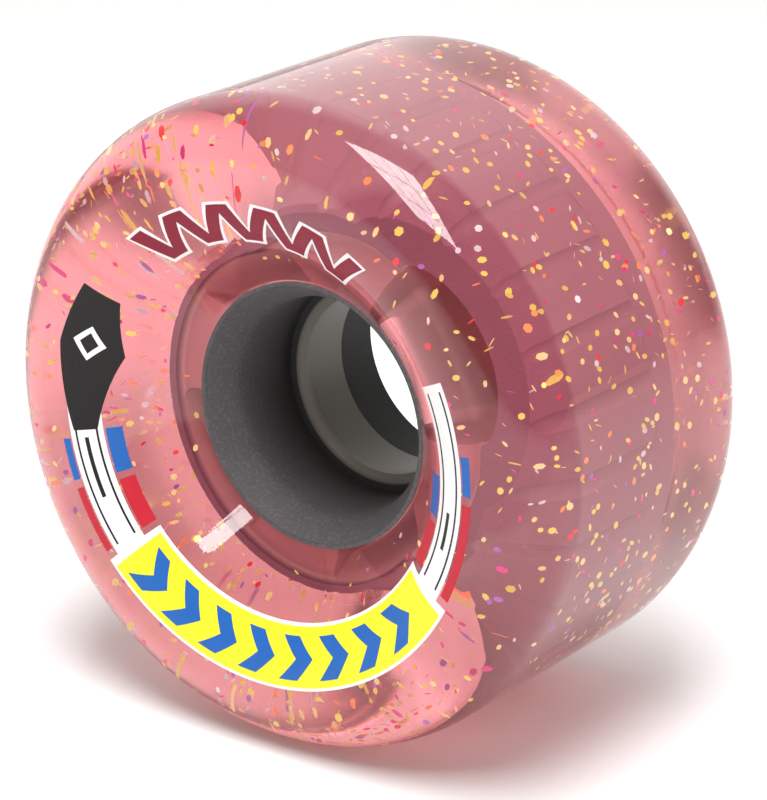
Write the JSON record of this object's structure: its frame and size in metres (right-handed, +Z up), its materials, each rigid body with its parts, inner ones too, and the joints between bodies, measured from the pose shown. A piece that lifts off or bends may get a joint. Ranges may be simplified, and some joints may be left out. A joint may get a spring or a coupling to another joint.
{
  "type": "roller skate wheel",
  "caption": "Wide quad skate wheel: a clear pink glitter tyre cast round a grey moulded core that takes a bearing in each side.",
  "frame": {"origin": "on the wheel's axis, at the middle of its width", "axes": "the wheel turns about Y. -Y points out of the dished face with the deep recess, away from the skate, and +Z is up"},
  "size_m": [0.065, 0.0376, 0.065],
  "materials": {
    "core": "satin",
    "tyre": "gloss"
  },
  "bodies": {
    "root": {"core": "core", "tyre": "tyre"}
  },
  "joints": []
}
